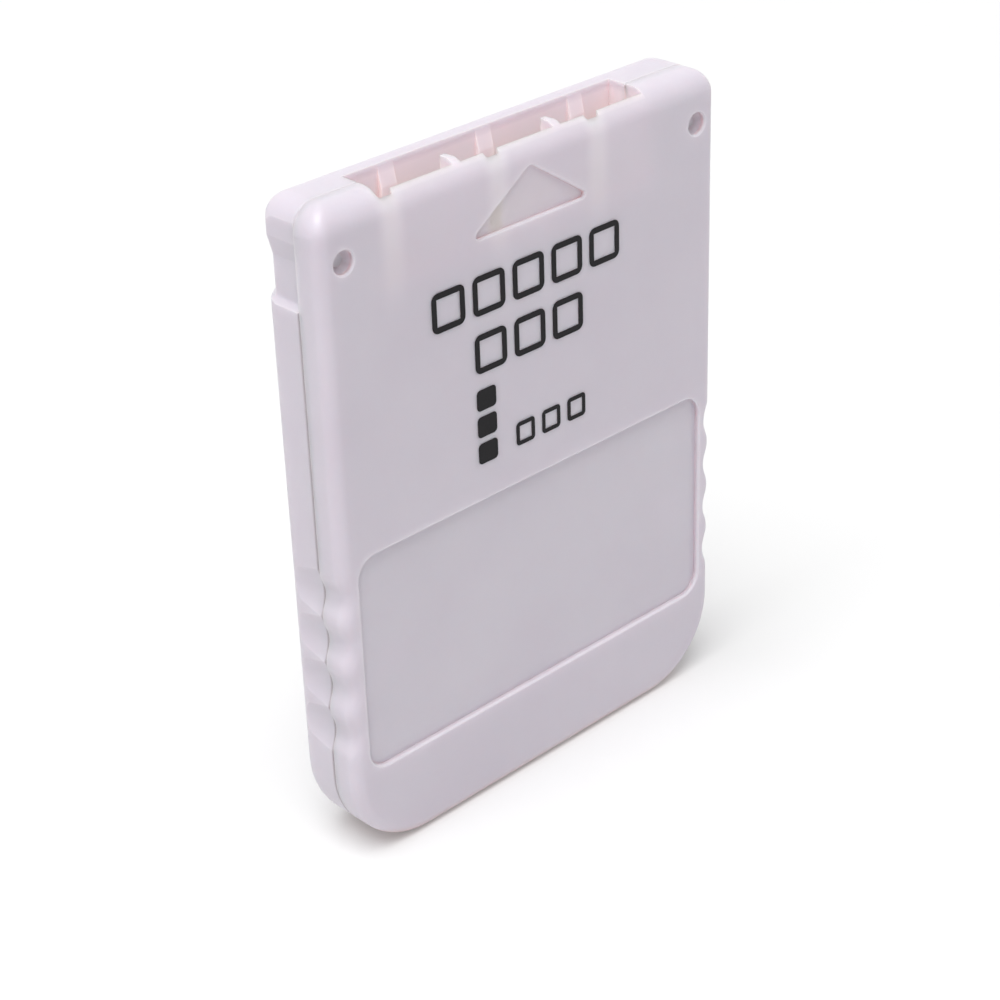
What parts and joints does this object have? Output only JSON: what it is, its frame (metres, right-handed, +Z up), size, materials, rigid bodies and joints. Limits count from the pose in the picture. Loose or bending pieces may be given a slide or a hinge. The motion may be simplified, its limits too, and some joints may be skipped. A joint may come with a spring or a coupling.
{
  "type": "console memory card",
  "caption": "Flat console memory card: pale plastic shells closed round a circuit board, with a keyed connector mouth on top, side latch notches, a wavy grip and a label recess.",
  "frame": {"origin": "middle of the card's footprint on the edge that it stands on, half-way through its depth", "axes": "X across the card, +Y from the labelled front to the rear, +Z up to the end with the connector mouth"},
  "size_m": [0.041, 0.007, 0.055],
  "materials": {
    "case_plastic": "satin, pale with a lilac cast",
    "board_laminate": "green solder mask",
    "contact_gold": "gold plated",
    "chip_epoxy": "moulded epoxy",
    "can_metal": "drawn can",
    "capacitor_ceramic": "fired ceramic",
    "resistor_glaze": "glazed",
    "print_ink": "pad-printed ink"
  },
  "bodies": {
    "root": {"front_shell": "case_plastic", "rear_shell": "case_plastic", "circuit_board": "board_laminate", "contact_1": "contact_gold", "contact_2": "contact_gold", "contact_3": "contact_gold", "contact_4": "contact_gold", "contact_5": "contact_gold", "contact_6": "contact_gold", "contact_7": "contact_gold", "contact_8": "contact_gold", "memory_chip": "chip_epoxy", "controller_chip": "chip_epoxy", "resonator": "can_metal", "capacitor_1": "capacitor_ceramic", "capacitor_2": "capacitor_ceramic", "capacitor_3": "capacitor_ceramic", "capacitor_4": "capacitor_ceramic", "resistor_1": "resistor_glaze", "resistor_2": "resistor_glaze", "resistor_3": "resistor_glaze", "resistor_4": "resistor_glaze"}
  },
  "joints": []
}
